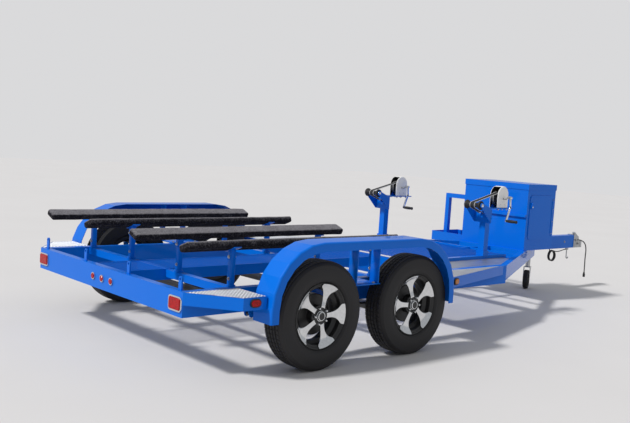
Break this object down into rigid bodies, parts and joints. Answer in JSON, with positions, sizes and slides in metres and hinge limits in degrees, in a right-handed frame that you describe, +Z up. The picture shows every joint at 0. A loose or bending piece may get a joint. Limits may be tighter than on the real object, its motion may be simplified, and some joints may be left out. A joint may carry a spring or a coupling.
{
  "type": "tandem axle boat trailer",
  "caption": "Tandem-axle trailer for small boats side by side: blue steel frame, carpeted bunks, fenders, winch posts, toolbox, tongue jack and ball coupler.",
  "frame": {"origin": "on the ground, midway along the trailer's length on its centre line", "axes": "+X forward to the coupler, +Y to the left, +Z up"},
  "size_m": [5.953, 2.57, 1.148],
  "materials": {
    "blue_paint": "gloss blue enamel",
    "zinc": "zinc plated steel",
    "tread_aluminium": "raised tread pattern",
    "black_steel": "satin black paint",
    "tyre_rubber": "moulded rubber",
    "machined_alloy": "machined face with black pockets",
    "chrome_trim": "polished",
    "red_lens": "transparent red lens",
    "amber_lens": "transparent amber lens",
    "black_plastic": "moulded black plastic",
    "grey_carpet": "looped marine carpet",
    "white_shell": "white moulded cover",
    "black_rubber": "moulded black rubber",
    "black_cord": "black jacket",
    "black_webbing": "woven polyester strap with pale edges"
  },
  "bodies": {
    "frame": {"rear_beam": "blue_paint", "side_rail_left": "blue_paint", "side_rail_right": "blue_paint", "cross_members": "blue_paint", "spine": "blue_paint", "deck_frames": "blue_paint", "deck_mesh": "blue_paint", "side_planks": "tread_aluminium", "step_skirts": "blue_paint", "step_treads": "tread_aluminium", "tongue": "blue_paint", "coupler": "zinc", "coupler_latch": "zinc", "jack_body": "zinc", "axles": "black_steel", "leaf_springs": "black_steel", "spring_hangers": "blue_paint", "fender_left": "blue_paint", "fender_right": "blue_paint", "lamp_bezels": "chrome_trim", "lamp_lenses": "red_lens", "marker_bases": "black_plastic", "marker_lenses_rear": "red_lens", "marker_lenses_front": "amber_lens", "bunk_left_outer": "grey_carpet", "bunk_left_inner": "grey_carpet", "bunk_right_inner": "grey_carpet", "bunk_right_outer": "grey_carpet", "bunk_posts": "blue_paint", "winch_stands": "blue_paint", "winch_covers": "white_shell", "winch_drums": "zinc", "winch_straps": "black_webbing", "strap_links": "zinc", "winch_cranks": "chrome_trim", "toolbox": "blue_paint", "side_platform": "blue_paint", "safety_coil": "black_cord", "safety_cable": "black_cord", "cable_hook": "zinc", "trailer_lead": "black_cord", "lead_plug": "black_plastic"},
    "wheel_front_left": {"tyre_front_left": "tyre_rubber", "wheel_front_left": "machined_alloy"},
    "wheel_front_right": {"tyre_front_right": "tyre_rubber", "wheel_front_right": "machined_alloy"},
    "wheel_rear_left": {"tyre_rear_left": "tyre_rubber", "wheel_rear_left": "machined_alloy"},
    "wheel_rear_right": {"tyre_rear_right": "tyre_rubber", "wheel_rear_right": "machined_alloy"},
    "jack_slide": {"jack_leg": "zinc"},
    "caster": {"caster_fork": "zinc"},
    "caster_roller": {"caster_wheel": "black_rubber"},
    "toolbox_door": {"toolbox_door": "blue_paint"},
    "toolbox_lid": {"toolbox_lid": "blue_paint"},
    "bow_roller_left": {"bow_roller_left": "black_rubber"},
    "bow_roller_right": {"bow_roller_right": "black_rubber"}
  },
  "joints": [
    {"name": "wheel_front_left_spin", "type": "hinge", "parent": "frame", "child": "wheel_front_left", "pos_m": [-1.2715, 1.147, 0.345], "axis": [0, 1, 0], "continuous": true},
    {"name": "wheel_front_right_spin", "type": "hinge", "parent": "frame", "child": "wheel_front_right", "pos_m": [-1.2715, -1.147, 0.345], "axis": [0, 1, 0], "continuous": true},
    {"name": "wheel_rear_left_spin", "type": "hinge", "parent": "frame", "child": "wheel_rear_left", "pos_m": [-2.1355, 1.147, 0.345], "axis": [0, 1, 0], "continuous": true},
    {"name": "wheel_rear_right_spin", "type": "hinge", "parent": "frame", "child": "wheel_rear_right", "pos_m": [-2.1355, -1.147, 0.345], "axis": [0, 1, 0], "continuous": true},
    {"name": "jack_raise", "type": "slide", "parent": "frame", "child": "jack_slide", "axis": [0, 0, 1], "range_m": [0, 0.15]},
    {"name": "caster_swivel", "type": "hinge", "parent": "jack_slide", "child": "caster", "pos_m": [2.1365, 0.1045, 0.236], "axis": [0, 0, 1], "continuous": true},
    {"name": "caster_spin", "type": "hinge", "parent": "caster", "child": "caster_roller", "pos_m": [2.10594, 0.08959, 0.1], "axis": [-0.4384, 0.8988, 0], "continuous": true},
    {"name": "toolbox_door_hinge", "type": "hinge", "parent": "frame", "child": "toolbox_door", "pos_m": [1.7285, -0.3823, 0.823], "axis": [0, 0, 1], "range_deg": [0, 110]},
    {"name": "toolbox_lid_hinge", "type": "hinge", "parent": "frame", "child": "toolbox_lid", "pos_m": [1.789, 0, 1.093], "axis": [0, 1, 0], "range_deg": [0, 95]},
    {"name": "bow_roller_left_spin", "type": "hinge", "parent": "frame", "child": "bow_roller_left", "pos_m": [0.1645, 0.595, 0.972], "axis": [0, 1, 0], "continuous": true},
    {"name": "bow_roller_right_spin", "type": "hinge", "parent": "frame", "child": "bow_roller_right", "pos_m": [0.1645, -0.595, 0.972], "axis": [0, 1, 0], "continuous": true}
  ]
}
